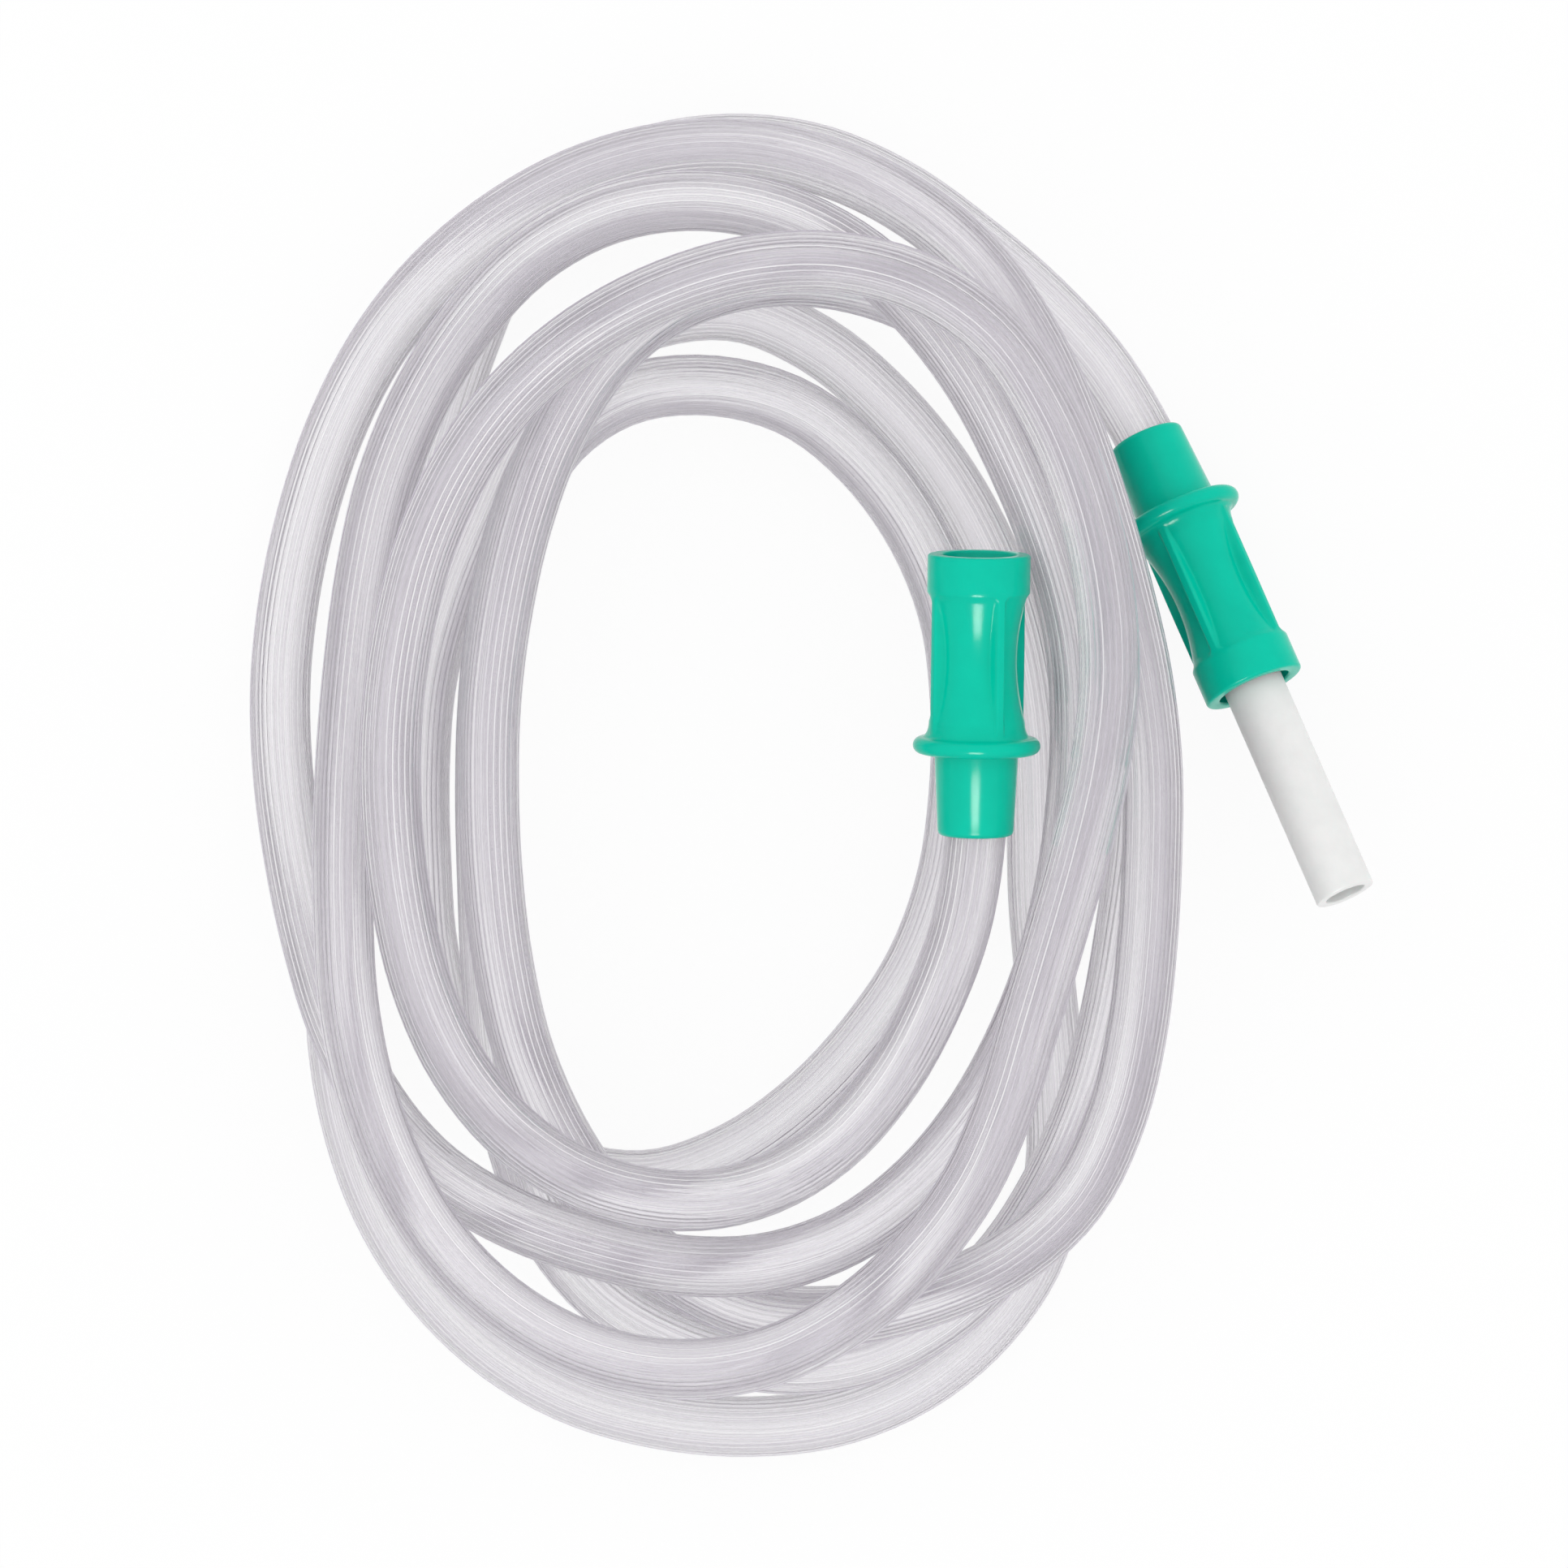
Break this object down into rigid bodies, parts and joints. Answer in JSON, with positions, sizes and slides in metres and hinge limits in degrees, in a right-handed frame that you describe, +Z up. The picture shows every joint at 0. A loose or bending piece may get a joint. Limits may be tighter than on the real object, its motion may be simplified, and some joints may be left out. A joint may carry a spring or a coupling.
{
  "type": "suction tubing",
  "caption": "Loose oval coil of clear ribbed suction tube with moulded teal female connectors on its ends and a straight adapter tube pushed into one of them.",
  "frame": {"origin": "on the ground under the middle of the coil's box", "axes": "+Z up from the ground the coil lies on, +Y along the coil's long way, +X towards the side the adapter sticks out of"},
  "size_m": [0.1756, 0.2113, 0.0484],
  "materials": {
    "clear_tube": "clear, finely ribbed along its length",
    "teal_connector": "smooth moulded",
    "white_adapter": "smooth translucent"
  },
  "bodies": {
    "root": {"suction_tube": "clear_tube", "free_end_connector": "teal_connector", "adapter_end_connector": "teal_connector", "straight_adapter": "white_adapter"}
  },
  "joints": []
}
